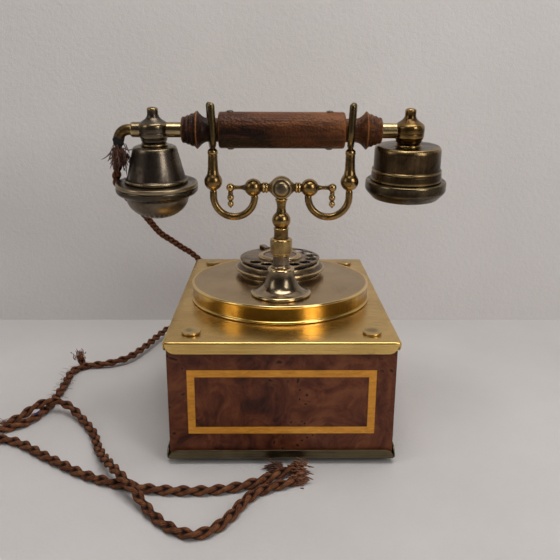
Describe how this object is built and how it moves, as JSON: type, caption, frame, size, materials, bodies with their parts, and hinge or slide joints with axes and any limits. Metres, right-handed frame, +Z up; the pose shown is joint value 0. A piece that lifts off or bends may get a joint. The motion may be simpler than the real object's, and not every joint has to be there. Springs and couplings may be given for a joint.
{
  "type": "cradle telephone",
  "caption": "Box telephone with brass plates, a rotary dial on a drum, and a wooden-gripped handset resting in a sprung cradle on a column; braided cords.",
  "frame": {"origin": "centre of the underside of the rubber feet", "axes": "+Z up, -Y towards the column side, +Y towards the dial side, +X to the right seen from the column side"},
  "size_m": [0.4049, 0.4101, 0.2777],
  "materials": {
    "satin_brass": "satin brushed, lacquered",
    "bright_brass": "polished",
    "aged_brass": "antique, rubbed",
    "olive_brass": "tarnished satin",
    "grey_bronze": "worn nickel over bronze",
    "dark_bronze": "dark patina",
    "burl_veneer": "satin lacquered burl veneer",
    "mahogany": "oiled, worn",
    "dark_rubber": "matt",
    "dial_card": "matt card and enamel",
    "plain_steel": "plain",
    "bakelite": "moulded",
    "brown_braid": "three-strand braided textile"
  },
  "bodies": {
    "base": {"top_plate": "satin_brass", "bottom_plate": "olive_brass", "front_panel": "burl_veneer", "rear_panel": "burl_veneer", "left_panel": "burl_veneer", "right_panel": "burl_veneer", "foot_front_left": "dark_rubber", "foot_front_right": "dark_rubber", "foot_rear_left": "dark_rubber", "foot_rear_right": "dark_rubber", "tie_bolt_front_left": "satin_brass", "tie_bolt_front_right": "satin_brass", "tie_bolt_rear_left": "satin_brass", "tie_bolt_rear_right": "satin_brass", "drum": "bright_brass", "dial_case": "aged_brass", "number_plate": "dial_card", "finger_stop": "aged_brass", "bell_foot": "grey_bronze", "column_tube": "grey_bronze", "collar_nut": "grey_bronze", "hook_bracket": "bakelite", "ringer_frame": "plain_steel", "gong_left": "satin_brass", "gong_right": "satin_brass", "terminal_board": "bakelite", "handset_cord_gland": "aged_brass", "line_cord_gland": "aged_brass", "handset_cord": "brown_braid", "line_cord": "brown_braid", "line_cord_tail": "brown_braid"},
    "dial": {"finger_wheel": "aged_brass", "dial_bezel": "aged_brass", "number_card": "dial_card", "dial_shaft": "plain_steel"},
    "governor": {"governor": "plain_steel"},
    "cradle": {"cradle_stem": "aged_brass", "cradle_hub": "aged_brass", "arm_left": "aged_brass", "arm_right": "aged_brass", "post_left": "aged_brass", "post_right": "aged_brass", "fork_left": "aged_brass", "fork_right": "aged_brass"},
    "handset": {"grip": "mahogany", "grip_end_left": "mahogany", "grip_end_right": "mahogany", "handset_tube": "aged_brass", "cord_spout": "aged_brass", "transmitter_joint": "grey_bronze", "transmitter_horn": "grey_bronze", "transmitter_ring": "dark_bronze", "mouthpiece": "grey_bronze", "transmitter_capsule": "bakelite", "receiver_joint": "bright_brass", "receiver_cup": "dark_bronze", "receiver_cap": "dark_bronze", "receiver_capsule": "bakelite"},
    "hook_lever": {"hook_lever": "plain_steel"},
    "clapper": {"clapper": "plain_steel"}
  },
  "joints": [
    {"name": "handset_lift", "type": "slide", "parent": "base", "child": "handset", "axis": [0, 0, 1], "range_m": [0, 0.06], "deforming": ["handset_cord"]},
    {"name": "cradle_rise", "type": "slide", "parent": "base", "child": "cradle", "axis": [0, 0, 1], "range_m": [0, 0.005]},
    {"name": "hook_switch", "type": "hinge", "parent": "base", "child": "hook_lever", "pos_m": [0.028, -0.0507, 0.092], "axis": [0, 1, 0], "range_deg": [0, 10.3]},
    {"name": "dial_turn", "type": "hinge", "parent": "base", "child": "dial", "pos_m": [0, 0.016, 0.134], "axis": [0, 0, 1], "range_deg": [-330, 0], "stiffness_Nm_per_rad": 0.02, "springref_deg": 17.19},
    {"name": "governor_spin", "type": "hinge", "parent": "base", "child": "governor", "pos_m": [0.023, 0.016, 0.097], "axis": [0, 0, 1], "range_deg": [0, 1000]},
    {"name": "clapper_swing", "type": "hinge", "parent": "base", "child": "clapper", "pos_m": [0, -0.045, 0.0326], "axis": [0, 0, 1], "range_deg": [-2.2, 2.2], "stiffness_Nm_per_rad": 0.01}
  ],
  "couplings": [
    {"joint": "cradle_rise", "follows": "handset_lift", "ratio": 0.08333},
    {"joint": "hook_switch", "follows": "handset_lift", "rad_per_m": 2.976},
    {"joint": "governor_spin", "follows": "dial_turn", "ratio": -3}
  ]
}
